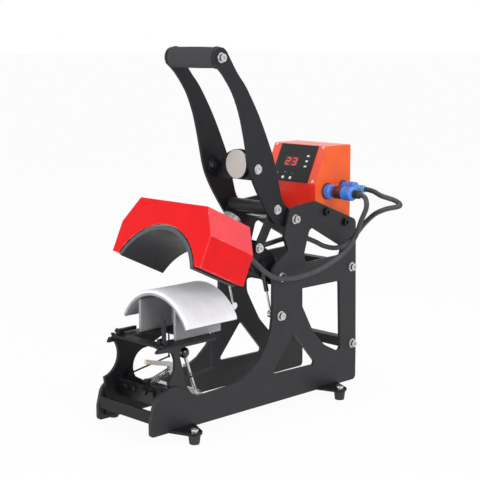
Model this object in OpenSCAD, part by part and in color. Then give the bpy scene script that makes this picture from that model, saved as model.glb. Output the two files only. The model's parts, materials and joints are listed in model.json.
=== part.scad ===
// Swing-head cap press: two side plates, toggle handle, curved heated head,
// cap stand with a band clamp, and a control box between the plates.
// Millimetres. X runs across the machine, the operator stands at -Y, Z is up.
// Side views below are drawn as [y, z], y counted from the front of the plates.

/* [View] */
// Sub-part to draw, or all of them

/* [Frame] */
// Width over the two side plates
frame_w = 141; // [125:1:180]
// Length of the side plates
frame_l = 508; // [495:1:560]
// Thickness of a side plate
plate_t = 6; // [4:0.5:8]
// Height of the rubber feet
foot_h = 16; // [10:1:30]
// Diameter of a rubber foot at its top
foot_d = 21; // [16:1:30]
// How far the foot centres stand out from the plates
foot_out = 33.5; // [28:0.5:45]
// Height of the long bar at the bottom of a side plate
bar_h = 55; // [45:1:62]
// Side of the square rear crossbars
crossbar_s = 18; // [12:1:20]

/* [Toggle and pivots] */
// Handle pivot, distance from the front
handle_y = 337; // [335:0.5:340]
// Handle pivot, height
handle_z = 338; // [336:0.5:341]
// Head pivot, distance from the front
head_y = 305; // [303:0.5:307]
// Head pivot, height
head_z = 239; // [237:0.5:241]
// Upper link pin on the handle, distance from the front
link_top_y = 303; // [301:0.5:305]
// Upper link pin on the handle, height
link_top_z = 357; // [355:0.5:359]
// Lower link pin on the head, distance from the front
link_low_y = 264; // [262:0.5:266]
// Lower link pin on the head, height
link_low_z = 293; // [291:0.5:295]
// Radius of the main pivot shafts
shaft_r = 6; // [5:0.5:8]
// Thickness of a toggle link
link_t = 5; // [3:0.5:5.2]

/* [Gas springs] */
// Distance of each gas spring from the centre plane
gas_x = 47.6; // [47.4:0.1:47.9]
// Upper eye, distance from the front
gas_top_y = 277; // [275:0.5:279]
// Upper eye, height
gas_top_z = 262; // [260:0.5:264]
// Lower eye, distance from the front
gas_low_y = 301; // [299:0.5:303]
// Lower eye, height
gas_low_z = 170; // [168:0.5:172]
// Cylinder radius
gas_r = 4.2; // [3.6:0.1:4.3]
// Rod radius
gas_rod_r = 2; // [1.5:0.1:2.5]

/* [Handle] */
// Thickness of a handle arm
arm_t = 5; // [3:0.5:6]
// Gap between a handle arm and its side plate
arm_gap = 4.5; // [4:0.1:6]
// Diameter of the foam grip
grip_d = 37; // [28:1:42]
// Grip centre, distance from the front
grip_y = 168; // [160:1:176]
// Grip centre, height
grip_z = 620; // [612:1:628]
// Diameter of the strike disc
disc_d = 50; // [40:1:56]
// Thickness of the strike disc
disc_t = 6; // [4:0.5:8]
// Diameter of the electromagnet
magnet_d = 38; // [30:1:42]

/* [Head] */
// Width of the head cover
cover_w = 222; // [216:1:228]
// Length of the head cover, front to rear
cover_l = 106; // [100:1:110]
// Height of the head cover
cover_h = 101; // [98:0.5:103]
// Wall of the head cover
cover_wall = 2; // [1.5:0.1:3]
// Inner radius of the curved heat platen
platen_r = 95; // [90:0.5:96]
// Thickness of the curved heat platen
platen_t = 7; // [5:0.5:8]
// Half angle of the curved heat platen
platen_half = 66; // [55:1:68]
// Height of the cap curve's axis above the floor
arch_z = 145.5; // [143:0.5:148]

/* [Cap stand] */
// Thickness of the pad on the lower form
pad_t = 5; // [3:0.5:8]
// Gap left for the cap when the head is closed
cap_gap = 2; // [1:0.5:5]
// Wall of the lower form under the pad
form_t = 4; // [3:0.5:6]
// Front end of the lower form
form_y = 70; // [66:1:76]
// Length of the lower form
form_l = 115; // [100:1:120]
// Thickness of a stand arm
stand_t = 6; // [4:0.5:6]
// Height of the stand's top
stand_z = 160; // [157:0.5:163]

/* [Band clamp] */
// Clamp shaft, distance from the front
clamp_y = 122; // [120:0.5:124]
// Clamp shaft, height
clamp_z = 60; // [58:0.5:62]
// Side position of the clamp lever
lever_x = 46; // [42:0.5:48]
// Diameter of the ball knob
knob_d = 19; // [15:0.5:22]
// Outside diameter of the clamp spring
spring_d = 12.6; // [11:0.1:13]
// Wire diameter of the clamp spring
spring_wire = 1.6; // [1.2:0.1:1.8]
// Number of curls of the clamp spring
spring_curls = 12; // [8:1:13]

/* [Control box] */
// Height of the box's top
box_top = 460; // [456:0.5:466]
// Length of the box's floor
box_l = 90; // [86:1:110]
// Sheet thickness of the box
box_wall = 1.5; // [1:0.1:2.5]
// Width of the control panel
panel_w = 90; // [84:1:110]
// Diameter of a panel button
button_d = 5.6; // [4:0.1:6]
// How far a panel button travels
button_travel = 1; // [0.6:0.1:1.2]
// Diameter of the cables
cable_d = 9; // [7:0.5:10]

/* [Fasteners and fits] */
// Bolt shank radius
bolt_r = 4; // [3:0.1:4.5]
// Bolt head radius
bolt_head_r = 6.5; // [5.5:0.1:7]
// Washer radius
washer_r = 8.5; // [7.5:0.1:9]
// Radial clearance of a running fit
running = 0.05; // [0.02:0.01:0.1]
// Clearance round bolts and between parts that pass each other
clearance = 0.3; // [0.2:0.05:0.5]

/* [Hidden] */
$fa = 7.5;
$fs = 1.6;

plate_x = frame_w / 2;
inner_x = plate_x - plate_t;
arm_x = inner_x - arm_gap;
arm_in = arm_x - arm_t;
link_out = arm_in - 0.5;
link_in = link_out - link_t;
carrier_x = 43;
carrier_t = 5;
hub_x = inner_x - arm_gap;

handle_p = [handle_y, handle_z];
head_p = [head_y, head_z];
link_top = [link_top_y, link_top_z];
link_low = [link_low_y, link_low_z];
gas_top = [gas_top_y, gas_top_z];
gas_low = [gas_low_y, gas_low_z];

// The toggle is closed when crank and link lie in one line
crank = norm(link_top - handle_p);
link_l = norm(link_low - link_top);
rocker_l = norm(link_low - head_p);
ground_l = norm(handle_p - head_p);
open_angle = acos((ground_l ^ 2 + rocker_l ^ 2 - norm(link_low - handle_p) ^ 2)
    / (2 * ground_l * rocker_l));
closed_angle = acos((ground_l ^ 2 + rocker_l ^ 2 - (crank + link_l) ^ 2)
    / (2 * ground_l * rocker_l));
head_swing = closed_angle - open_angle;

function turn(v, a) = [v[0] * cos(a) - v[1] * sin(a), v[0] * sin(a) + v[1] * cos(a)];
function heading(v) = atan2(v[1], v[0]);

low_closed = head_p + turn(link_low - head_p, head_swing);
top_open_angle = heading(link_top - handle_p);
top_closed_angle = heading(low_closed - handle_p) + 360;
handle_swing = top_closed_angle - top_open_angle;

// Points that ride on the head, measured from the head pivot, head closed
low_rel = turn(link_low - head_p, head_swing);
gas_rel = turn(gas_top - head_p, head_swing);
arch_rel = arch_z - head_z;
cover_back = -126.5;
cover_bottom = -50;
cover_top = cover_bottom + cover_h;
platen_out = platen_r + platen_t;
cut_r = platen_out + 2.5;
gland_x = 74;
gland_z = 8;
gland_l = 9.5;

// The strike disc on the handle meets the electromagnet on the head
disc_open = [264, 435];
disc_mount = [254, 431];
disc_closed = handle_p + turn(disc_open - handle_p, handle_swing);
face_dir = turn([1, 0], handle_swing);
face_rel = disc_closed - face_dir * (disc_t / 2 + 0.6) - head_p;
magnet_h = 22;
magnet_tilt = 90 - handle_swing;

gas_len = norm(gas_low - gas_top);
gas_tilt = heading(gas_low - gas_top) + 90;

pad_r = platen_r - cap_gap;
form_r = pad_r - pad_t;

box_start = 402;
box_rear = box_start + box_l;
box_floor = 326;
box_front = [396, 393];
box_slope = [428, box_top];
panel_len = norm(box_slope - box_front);
panel_tilt = 90 - heading(box_slope - box_front);
box_bolts = [[419, 343], [frame_l - 36, 319]];
crossbars = [[frame_l - 16, 233], [frame_l - 12, 87]];
foot_spots = [64, 424];
foot_x = plate_x + foot_out;

spring_a = [55, 81];
spring_b = [97, 93.4];
spring_dir = heading(spring_b - spring_a);
spring_len = norm(spring_b - spring_a);

heater_path = [
    [134, 428, 379], [144, 428, 379], [156, 426, 374], [159, 425, 358], [148, 424, 333],
    [130, 431, 303], [112, 419, 272], [99, 373, 248], [91, 327, 239], [87, 290, 240],
    [84, 266, 247], [80, 247, 260], [76, 230, 276], [74, 214, 290], [74, 202.1, 295.6]
];
magnet_path = [
    [111, 472, 383], [122, 472, 383], [138, 471, 381], [162, 463, 376], [188, 470, 369], [202, 464, 362],
    [184, 449, 356], [160, 448, 345], [131, 456, 325], [107, 465, 305], [88, 468, 287],
    [72, 451, 274], [54, 436, 276], [44, 416, 287], [37, 386, 298], [28, 350, 296],
    [16, 315, 288], [7, 292, 287], [1, 277, 292.5], [0, 268, 301.9], [0, 261.6, 309.4]
];

// Helpers

function unit(v) = v / norm(v);

function corner(a, b, c, r, n) = r == 0 ? [b] :
    let (u = unit(a - b), w = unit(c - b),
        half = acos(max(-1, min(1, u * w))) / 2,
        m = b + unit(u + w) * r / sin(half),
        s = heading(b + u * r / tan(half) - m),
        e = heading(b + w * r / tan(half) - m),
        d = e - s > 180 ? e - s - 360 : e - s < -180 ? e - s + 360 : e - s)
    [for (i = [0 : n]) m + r * [cos(s + d * i / n), sin(s + d * i / n)]];

function rounded(p, n = 5) = let (k = len(p)) [
    for (i = [0 : k - 1])
        let (a = p[(i + k - 1) % k], b = p[i], c = p[(i + 1) % k])
        each corner([a[0], a[1]], [b[0], b[1]], [c[0], c[1]], b[2], n)
];

function blend(a, b, c, d, t) = 0.5 * (2 * b + (c - a) * t
    + (2 * a - 5 * b + 4 * c - d) * t ^ 2 + (3 * b - a - 3 * c + d) * t ^ 3);

function curve(p, n = 4) = [
    for (i = [0 : len(p) - 2])
        for (j = [0 : n - 1])
            blend(p[max(i - 1, 0)], p[i], p[i + 1], p[min(i + 2, len(p) - 1)], j / n),
    p[len(p) - 1]
];

function normals(t, i, m) = i >= len(t) ? [] :
    let (k = unit(m - (m * t[i]) * t[i])) concat([k], normals(t, i + 1, k));

// Closed tube of radius r swept along the points p, with n sides
module sweep(p, r, n) {
    k = len(p);
    t = [for (i = [0 : k - 1]) unit(p[min(i + 1, k - 1)] - p[max(i - 1, 0)])];
    u = normals(t, 0, [0.1, 0.2, 1]);
    rings = [for (i = [0 : k - 1]) for (j = [0 : n - 1])
        p[i] + r * (cos(360 * j / n) * u[i] + sin(360 * j / n) * cross(t[i], u[i]))];
    walls = [for (i = [0 : k - 2]) for (j = [0 : n - 1])
        [i * n + j, i * n + (j + 1) % n, (i + 1) * n + (j + 1) % n, (i + 1) * n + j]];
    ends = [[for (j = [0 : n - 1]) n - 1 - j], [for (j = [0 : n - 1]) (k - 1) * n + j]];
    polyhedron(points = rings, faces = [for (f = concat(walls, ends)) [for (i = [len(f) - 1 : -1 : 0]) f[i]]],
        convexity = 8);
}

module shop() {
    translate([0, -frame_l / 2, 0]) children();
}

// Children drawn round the head pivot with the head closed
module on_head() {
    shop() translate([0, head_y, head_z]) rotate([-head_swing, 0, 0]) children();
}

// Side view [y, z] given a thickness along X
module slab(x, t) {
    translate([x, 0, 0]) rotate([90, 0, 90]) linear_extrude(t, convexity = 8) children();
}

// Front view [x, z] given a length towards the front from y
module along(y, l) {
    translate([0, y, 0]) rotate([90, 0, 0]) linear_extrude(l, convexity = 8) children();
}

module pin(x, l, p, r) {
    translate([x, p[0], p[1]]) rotate([0, 90, 0]) cylinder(h = l, r = r);
}

module both() {
    children();
    mirror([1, 0, 0]) children();
}

// Socket bolt along +X: seat is the face it clamps, reach is the shank's depth
module bolt(p, seat, reach, washer = 1.5, head = 6) {
    difference() {
        union() {
            pin(seat - reach, reach + washer + 1, p, bolt_r);
            pin(seat, washer, p, washer_r);
            pin(seat + washer, head, p, bolt_head_r);
        }
        translate([seat + washer + head - 3, p[0], p[1]]) rotate([0, 90, 0])
            cylinder(h = 4, r = 3.4, $fn = 6);
    }
}

// Upright screw with its head's underside at z
module screw(x, y, z, r, reach) {
    translate([x, y, z - reach]) cylinder(h = reach + 0.5, r = r);
    difference() {
        translate([x, y, z]) cylinder(h = r * 1.3, r = r * 1.7);
        translate([x, y, z + r * 0.7]) cylinder(h = r, r = r * 0.85, $fn = 6);
    }
}

// Frame

module side_outline() {
    rear = frame_l;
    top = handle_z - foot_h + 21;
    translate([0, foot_h]) difference() {
        polygon(rounded([[0, 0, 6], [rear, 0, 8], [rear, 50, 60], [rear - 5, 305, 12], [392, 348.5, 14],
            [326, top, 10], [310, 293, 9], [322, 267, 9], [283, 243, 16], [282, bar_h, 112],
            [103, bar_h - 6, 4], [48, bar_h + 25, 34], [8, bar_h + 1, 22], [0, 26, 20]], 6));
        polygon(rounded([[377.5, 305.5, 10], [rear - 42, 258, 9], [rear - 47, 243, 6], [366, 240, 8],
            [362, 257, 14]]));
        polygon(rounded([[353, 195, 5], [459, 195, 5], [464, 59, 7], [417, 82, 50], [386, 114, 70],
            [353, 172, 30]]));
        polygon(rounded([[337, 117, 6], [393, 54, 5], [389, 49, 3], [279, 51, 5]]));
    }
}

module side_plate() {
    difference() {
        slab(inner_x, plate_t) side_outline();
        for (p = concat([handle_p, head_p, gas_low], crossbars, box_bolts))
            pin(inner_x - 1, plate_t + 2, p, bolt_r + clearance);
    }
}

module side_plate_left() {
    color([0.13, 0.13, 0.15]) shop() mirror([1, 0, 0]) side_plate();
}

module side_plate_right() {
    color([0.13, 0.13, 0.15]) shop() side_plate();
}

module front_cross_plate() {
    color([0.12, 0.12, 0.14]) shop() translate([-inner_x, 2, 38]) cube([2 * inner_x, 6, 20]);
}

module rear_crossbars() {
    color([0.12, 0.12, 0.14]) shop() for (p = crossbars) difference() {
        translate([-inner_x, p[0] - crossbar_s / 2, p[1] - crossbar_s / 2])
            cube([2 * inner_x, crossbar_s, crossbar_s]);
        both() pin(inner_x - 20, 21, p, bolt_r + running);
    }
}

module foot_brackets() {
    color([0.12, 0.12, 0.14]) shop() both() for (y = foot_spots) difference() {
        translate([0, 0, foot_h]) linear_extrude(4.5) polygon(rounded([
            [plate_x, y - 26, 0], [plate_x, y + 31, 0],
            [foot_x + 10, y + 11, 10], [foot_x + 10, y - 11, 10]]));
        translate([foot_x, y, foot_h - 1]) cylinder(h = 7, r = bolt_r + clearance);
    }
}

module rubber_feet() {
    color([0.09, 0.09, 0.1]) shop() both() for (y = foot_spots) translate([foot_x, y, 0]) difference() {
        cylinder(h = foot_h, r1 = foot_d / 2 - 2, r2 = foot_d / 2);
        translate([0, 0, foot_h - 10]) cylinder(h = 11, r = bolt_r + running);
    }
}

module frame_bolts() {
    color([0.75, 0.76, 0.78]) shop() both() {
        bolt(handle_p, plate_x, plate_t + 16);
        bolt(head_p, plate_x, plate_t + 16);
        bolt(gas_low, plate_x, plate_x - gas_x - 4.3);
        for (p = crossbars) bolt(p, plate_x, plate_t + 16);
        for (y = foot_spots) screw(foot_x, y, foot_h + 4.5, bolt_r, 13);
    }
}

module pivot_shafts() {
    color([0.62, 0.63, 0.65]) shop() for (p = [handle_p, head_p]) difference() {
        pin(-inner_x, 2 * inner_x, p, shaft_r);
        both() pin(inner_x - 20, 21, p, bolt_r + running);
    }
}

module pivot_spacers() {
    color([0.7, 0.7, 0.72]) shop() both() for (p = [handle_p, head_p]) difference() {
        pin(arm_x + clearance, arm_gap - clearance, p, shaft_r + 4);
        pin(arm_x, arm_gap + 1, p, shaft_r + running);
    }
}

module black_bolts() {
    color([0.07, 0.07, 0.08]) shop() {
        both() for (p = box_bolts) bolt(p, plate_x, plate_t + 9, 1.5, 4);
        tray_bolts() {
            cylinder(h = 5.5, r = 6.5, $fn = 6);
            translate([0, 0, -6]) cylinder(h = 7, r = bolt_r);
        }
        for (x = [-1, 1]) screw(x * (inner_x - 3), 31, stand_z, 2, 10);
    }
}

module tray_bolts() {
    for (x = [-34, -14, 14, 34]) translate([x, 36.2, 76]) rotate([111, 0, 0]) children();
}

// Cap stand

module stand_arms() {
    color([0.12, 0.12, 0.14]) shop() {
        mirror([1, 0, 0]) stand_arm(12, 5, 102);
        stand_arm(47, 23, 112);
    }
}

// Arm whose front edge starts at y = foot, between a front notch at y = fore and a rear notch at y = aft
module stand_arm(foot, fore, aft) {
    h = stand_z - 4;
    difference() {
        slab(inner_x - stand_t, stand_t) difference() {
            polygon(rounded([[foot, 22, 4], [118, 22, 5], [118, 48, 8], [97, 68, 0], [90, 96, 0], [105, 127, 0],
                [152, h - 10, 3], [152, h, 2], [24, h, 2], [20, h - 6, 3], [foot - 2, 96, 0], [foot, 80, 6]]));
            intersection() {
                translate([fore, 126]) circle(r = 36);
                translate([fore - 36, 80]) square([80, h - 88]);
            }
            translate([aft, 96]) circle(r = 30);
            translate([clamp_y, clamp_z]) circle(r = 14);
        }
        translate([inner_x - 3, 31, h - 8]) cylinder(h = 9, r = 2 + clearance);
    }
}

module stand_top_plate() {
    color([0.12, 0.12, 0.14]) shop() difference() {
        union() {
            translate([0, 0, stand_z - 4]) linear_extrude(4) difference() {
                polygon(rounded([[-inner_x, 23, 8], [-inner_x, 152, 2], [inner_x, 152, 2], [inner_x, 23, 8],
                    [44, 30, 12], [-44, 30, 12]]));
                polygon(rounded([[-34, 50, 8], [34, 50, 8], [34, 112, 8], [-34, 112, 8]]));
            }
            both() {
                translate([48, 34, stand_z - 1]) cube([7, 12, 11]);
                pin(54, 9, [40, stand_z + 5], 1.6);
            }
        }
        both() translate([inner_x - 3, 31, stand_z - 5]) cylinder(h = 6, r = 2 + clearance);
    }
}

module stand_tray() {
    w = inner_x - stand_t;
    color([0.12, 0.12, 0.14]) shop() difference() {
        union() {
            slab(-w, 2 * w) polygon([[32.3, 86], [46, 51], [74, 48], [98, 62], [96.5, 65], [73, 51.2],
                [48, 54], [35.1, 87]]);
            // Post that holds the fixed end of the spring
            slab(-5, 10) polygon([[42, 66], [62, 52], [66, 52], [60, 70], [spring_a[0] + 2, 90], [50, 90]]);
            // Eyes of the stay rods
            both() slab(w - 3, 3) polygon(rounded([[50, 52, 0], [70, 52, 0], [64, 94, 5], [54, 94, 5]]));
        }
        tray_bolts() translate([0, 0, -9]) cylinder(h = 12, r = bolt_r + clearance);
        translate([0, spring_a[0], spring_a[1]]) rotate([spring_dir - 90, 0, 0]) translate([0, 0, -8])
            cylinder(h = 20, r = spring_d / 2 + clearance);
        both() pin(w - 4, 5, [59, 88], 1.6 + running);
    }
    color([0.12, 0.12, 0.14]) shop() translate([0, spring_a[0], spring_a[1]]) rotate([spring_dir - 90, 0, 0])
        translate([0, 0, -8]) cylinder(h = 8, r = spring_d / 2 + clearance);
}

module arc_band(r0, r1, half) {
    difference() {
        circle(r = r1, $fa = 5);
        circle(r = r0, $fa = 5);
        polygon([[0, 0], 3 * r1 * [sin(half), cos(half)], [3 * r1, -3 * r1], [-3 * r1, -3 * r1],
            3 * r1 * [-sin(half), cos(half)]]);
    }
}

module lower_form() {
    color([0.5, 0.5, 0.52]) shop() {
        along(form_y + form_l, form_l) translate([0, arch_z]) arc_band(form_r - form_t, form_r, platen_half - 2);
        for (x = [-44, 44]) along(form_y + form_l - 6, form_l - 12) polygon([[x - 2.5, stand_z], [x + 2.5, stand_z],
            [x + 2.5, arch_z + sqrt((form_r - form_t + 1) ^ 2 - (abs(x) + 2.5) ^ 2)],
            [x - 2.5, arch_z + sqrt((form_r - form_t + 1) ^ 2 - (abs(x) + 2.5) ^ 2)]]);
        translate([-46, form_y + form_l - 40, stand_z + 6]) cube([92, 5, 30]);
    }
}

module form_pad() {
    color([0.87, 0.86, 0.82]) shop() along(form_y + form_l, form_l) translate([0, arch_z])
        arc_band(form_r, pad_r, platen_half - 2);
}

module clamp_shaft() {
    color([0.62, 0.63, 0.65]) shop() pin(-inner_x, 2 * inner_x, [clamp_y, clamp_z], 5);
}

module stay_rods() {
    w = inner_x - stand_t;
    color([0.35, 0.35, 0.37]) shop() both() {
        pin(w - 5, 5, [59, 88], 1.6);
        translate([w - 5.2, 59, 88]) rotate([heading([90, 14]) - 90, 0, 0]) cylinder(h = 91.1, r = 1.5);
        pin(w - 7, 3.7, [59, 88], 4.2);
        translate([w - 5.2, 149, 102]) cylinder(h = stand_z - 4 - 102, r = 1.5);
        translate([w - 5.2, 149, 102]) sphere(r = 2.4, $fn = 16);
    }
}

// Band clamp, turning about the clamp shaft

module lever_rod() {
    translate([lever_x, clamp_y, clamp_z]) rotate([heading([94, 137] - [clamp_y, clamp_z]) - 90, 0, 0])
        cylinder(h = 77, r = 3);
}

module clamp_lever() {
    color([0.72, 0.73, 0.75]) shop() difference() {
        union() {
            pin(-9, lever_x + 14, [clamp_y, clamp_z], 8.5);
            lever_rod();
            slab(-5, 10) polygon(rounded([[117, 60, 0], [127, 60, 0], [118, 103, 4], [107, 110, 4], [58, 121, 2],
                [56, 115, 2], [100, 104, 2], [102, 101, 1], [102, 88, 2], [110, 87, 4]]));
            pin(lever_x - 10, 10, [103, 112], 2);
            // Seat of the spring's moving end
            translate([0, spring_b[0], spring_b[1]]) rotate([spring_dir - 90, 0, 0])
                cylinder(h = 10, r = spring_d / 2);
        }
        pin(-10, lever_x + 16, [clamp_y, clamp_z], 5 + running);
    }
}

module clamp_knob() {
    color([0.05, 0.05, 0.06]) shop() difference() {
        translate([lever_x, 94, 137]) sphere(r = knob_d / 2, $fn = 32);
        lever_rod();
    }
}

module clamp_tip() {
    color([0.9, 0.86, 0.76]) shop() translate([0, 57, 118]) rotate([atan2(6, 2), 0, 0])
        cylinder(h = 9, r1 = 4.5, r2 = 3.5);
}

module clamp_spring() {
    l = spring_len;
    w = spring_wire;
    n = 8 * spring_curls;
    r = (spring_d - w) / 2;
    path = concat([[r, 0, 0]],
        [for (i = [0 : n]) [r * cos(45 * i), r * sin(45 * i), w + (l - 2 * w) * i / n]],
        [[r, 0, l]]);
    color([0.78, 0.79, 0.81]) shop() translate([0, spring_a[0], spring_a[1]])
        rotate([spring_dir - 90, 0, 0]) sweep(path, w / 2, 6);
}

// Fingers that hold the cap's band open, one up and one folded back

module band_finger() {
    difference() {
        union() {
            translate([-2.5, -3, 0]) cube([5, 6, 39]);
            pin(-3.5, 7, [0, 0], 4.2);
        }
        pin(-6, 12, [0, 0], 1.6 + running);
    }
}

module band_finger_right() {
    color([0.1, 0.1, 0.11]) shop() translate([58.8, 40, stand_z + 5]) band_finger();
}

module band_finger_left() {
    color([0.1, 0.1, 0.11]) shop() translate([-58.8, 40, stand_z + 5]) rotate([-90, 0, 0]) band_finger();
}

// Control box

module box_outline(wall = 0) {
    offset(delta = -wall) polygon(rounded([[box_start, box_floor, 0], [box_rear, box_floor, 0],
        [box_rear, box_top, 4], [box_slope[0], box_slope[1], 5], [box_front[0], box_front[1], 5],
        [box_front[0] + 1, 366, 4]], 4));
}

module on_panel() {
    translate([0, box_front[0], box_front[1]]) rotate([-panel_tilt, 0, 0]) children();
}

module control_box() {
    color([0.93, 0.28, 0.13]) shop() difference() {
        slab(-inner_x, 2 * inner_x) box_outline();
        slab(-inner_x + box_wall, 2 * (inner_x - box_wall)) box_outline(box_wall);
        on_panel() translate([-34, -2, 4]) cube([54, 6, 50]);
        on_panel() for (x = [-1, 1]) for (z = [5, 71]) translate([x * 57, 5, z]) rotate([90, 0, 0])
            cylinder(h = 12, r = 1.8);
        both() for (p = box_bolts) pin(inner_x - 4, 6, p, bolt_r + clearance);
        pin(inner_x - 4, 6, [428, 379], 9);
        pin(inner_x - 4, 6, [472, 383], 9);
        translate([-44, box_rear - 6, 368]) cube([50, 12, 28]);
        translate([18, box_rear - 6, 371]) cube([22, 12, 22]);
    }
}

module button_hole(x, extra) {
    translate([x, 12, 8]) rotate([90, 0, 0]) cylinder(h = 20, r = button_d / 2 + extra);
}

module control_panel() {
    color([0.06, 0.06, 0.07]) shop() on_panel() difference() {
        translate([-panel_w / 2, -1.2, 1]) cube([panel_w, 1.2, 72]);
        translate([-24.5, -2, 30.5]) cube([32, 4, 18]);
        button_hole(-17, running);
        button_hole(1, running);
    }
}

module display_window() {
    color([0.35, 0.03, 0.03]) shop() on_panel() translate([-24.5, -1.4, 30.5]) cube([32, 2.4, 18]);
}

module circuit_board() {
    color([0.06, 0.3, 0.16]) shop() on_panel() {
        translate([-33, 9, 4]) cube([52, 1.6, 49]);
        translate([-24, 2, 31]) cube([31, 7, 17]);
        for (x = [-17, 1]) translate([x - 3, 6.4, 5]) cube([6, 2.6, 6]);
        translate([-30, 10.6, 34]) cube([18, 8, 14]);
        translate([4, 10.6, 10]) cube([10, 6, 12]);
    }
}

module power_block() {
    color([0.3, 0.3, 0.34]) shop() {
        translate([-50, 420, box_floor + box_wall]) cube([46, 40, 34]);
        translate([-44, 426, box_floor + box_wall + 34]) cube([34, 28, 6]);
        translate([14, 416, box_floor + box_wall]) cube([34, 48, 22]);
    }
}

module panel_screws() {
    color([0.8, 0.81, 0.83]) shop() on_panel() for (x = [-1, 1]) for (z = [5, 71])
        translate([x * 57, 0, z]) rotate([90, 0, 0]) {
            cylinder(h = 1.4, r = 3);
            translate([0, 0, -5]) cylinder(h = 6, r = 1.75);
        }
}

module mains_inlet() {
    back = box_rear;
    color([0.07, 0.07, 0.08]) shop() {
        difference() {
            union() {
                translate([-48, back + 0.3, 364]) cube([58, 3, 36]);
                translate([-43.5, back - 22, 368.5]) cube([49, 23, 27]);
            }
            // Mouth of the inlet, with its pins left standing, and the fuse drawer's slot
            difference() {
                translate([-38, back - 16, 373]) cube([26, 22, 18]);
                translate([-30, back - 17, 381]) cube([2, 17, 5]);
                translate([-22, back - 17, 381]) cube([2, 17, 5]);
                translate([-26, back - 17, 376]) cube([2, 17, 5]);
            }
            translate([-8, back + 2.3, 373]) cube([12, 2, 18]);
        }
        difference() {
            translate([15, back + 0.3, 368]) cube([28, 3, 28]);
            translate([20, back - 1, 373]) cube([18, 6, 18]);
        }
        difference() {
            translate([18.5, back - 16, 371.5]) cube([21, 16.3, 21]);
            translate([20, back - 14, 373]) cube([18, 16, 18]);
            pin(18, 22, [back - 6, 382], 1.5 + clearance, $fn = 24);
        }
    }
}

module power_rocker() {
    back = box_rear;
    color([0.55, 0.05, 0.05]) shop() {
        intersection() {
            translate([20.6, back - 12, 374]) cube([16.8, 20, 16]);
            translate([20.6, back - 6, 382]) rotate([0, 90, 0]) difference() {
                cylinder(h = 16.8, r = 13, $fn = 64);
                translate([-20, 0, -1]) rotate([0, 0, 12]) translate([0, 9.2, 0]) cube([40, 10, 20]);
            }
            translate([20.6, back - 6, 382]) rotate([-10, 0, 0]) translate([0, -3, -7.4])
                cube([16.8, 11.6, 14.8]);
        }
        pin(18.8, 20.4, [back - 6, 382], 1.5, $fn = 24);
    }
}

module cable_sockets() {
    color([0.09, 0.2, 0.55]) shop() {
        for (p = [[428, 379, 15], [472, 383, 13]]) difference() {
            union() {
                pin(inner_x, 2, p, p[2]);
                pin(inner_x + 1, 13, p, p[2] - 2);
                pin(inner_x - 8, 9, p, 8.5);
            }
            pin(inner_x + 6, 9, p, p[2] - 4.5);
        }
    }
}

module heater_plug() {
    p = [428, 379];
    color([0.1, 0.3, 0.75]) shop() difference() {
        union() {
            pin(inner_x + 6, 13, p, 9.5);
            pin(inner_x + 40.5, 24, p, 12.5);
            pin(inner_x + 64, 14, p, 7.5);
            pin(inner_x + 18, 24, p, 7.5);
        }
        pin(inner_x + 60, 20, p, cable_d / 2 + clearance);
    }
}

module plug_collar() {
    p = [428, 379];
    color([0.4, 0.1, 0.16]) shop() difference() {
        pin(inner_x + 19.5, 20.5, p, 11.5);
        pin(inner_x + 19, 22, p, 7.5);
    }
}

module magnet_plug() {
    p = [472, 383];
    color([0.1, 0.32, 0.78]) shop() difference() {
        union() {
            pin(inner_x + 6, 10, p, 7.5);
            pin(inner_x + 15, 16, p, 11.5);
            pin(inner_x + 30, 23, p, 7);
        }
        pin(inner_x + 45, 10, p, cable_d / 2 + clearance);
    }
}

module heater_cable() {
    color([0.12, 0.12, 0.13]) shop() sweep(curve(heater_path, 2), cable_d / 2, 10);
}

module magnet_cable() {
    color([0.12, 0.12, 0.13]) shop() sweep(curve(magnet_path, 2), cable_d / 2, 10);
}

// Handle

// Point of an arm between the disc's mount and the grip, in shares of that stretch
function upper(s) = [disc_mount[0] + s[0] * (grip_y - disc_mount[0]), disc_mount[1] + s[1] * (grip_z - disc_mount[1])];

module arm_outline() {
    front = concat([[grip_y - 15, grip_z - 10]],
        [for (s = [[0.953, 0.862], [0.674, 0.698], [0.488, 0.513], [0.372, 0.328], [0.291, 0.164]]) upper(s)],
        [[238, 425], [253, 394], [277, 358], [297, 334], [handle_y - 8, handle_z - 16.5]]);
    rear = concat([[handle_y - 4, handle_z + 17], [317, 371], [307, 402]],
        [for (s = [[-0.488, 0.048], [-0.337, 0.212], [-0.047, 0.476], [0.302, 0.73], [0.57, 0.873]]) upper(s)],
        [[grip_y + 14, grip_z + 10]]);
    union() {
        polygon(concat(curve(front, 3), [[handle_y, handle_z]], curve(rear, 3)));
        translate(handle_p) circle(r = 18);
        translate([grip_y, grip_z]) circle(r = 17);
        translate(link_top) circle(r = 13);
    }
}

module handle_arm() {
    difference() {
        slab(arm_in, arm_t) arm_outline();
        pin(arm_in - 1, arm_t + 2, handle_p, shaft_r + running);
        for (p = [link_top, [grip_y, grip_z], disc_mount]) pin(arm_in - 1, arm_t + 2, p, bolt_r + clearance);
    }
}

module handle_arm_left() {
    color([0.13, 0.13, 0.15]) shop() mirror([1, 0, 0]) handle_arm();
}

module handle_arm_right() {
    color([0.13, 0.13, 0.15]) shop() handle_arm();
}

module grip_tube() {
    color([0.6, 0.6, 0.62]) shop() difference() {
        pin(-arm_in, 2 * arm_in, [grip_y, grip_z], 12);
        both() pin(arm_in - 20, 21, [grip_y, grip_z], bolt_r + running);
    }
}

module grip_foam() {
    color([0.12, 0.12, 0.12]) shop() difference() {
        pin(-arm_in + 1, 2 * arm_in - 2, [grip_y, grip_z], grip_d / 2);
        pin(-arm_in, 2 * arm_in, [grip_y, grip_z], 12);
    }
}

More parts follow.
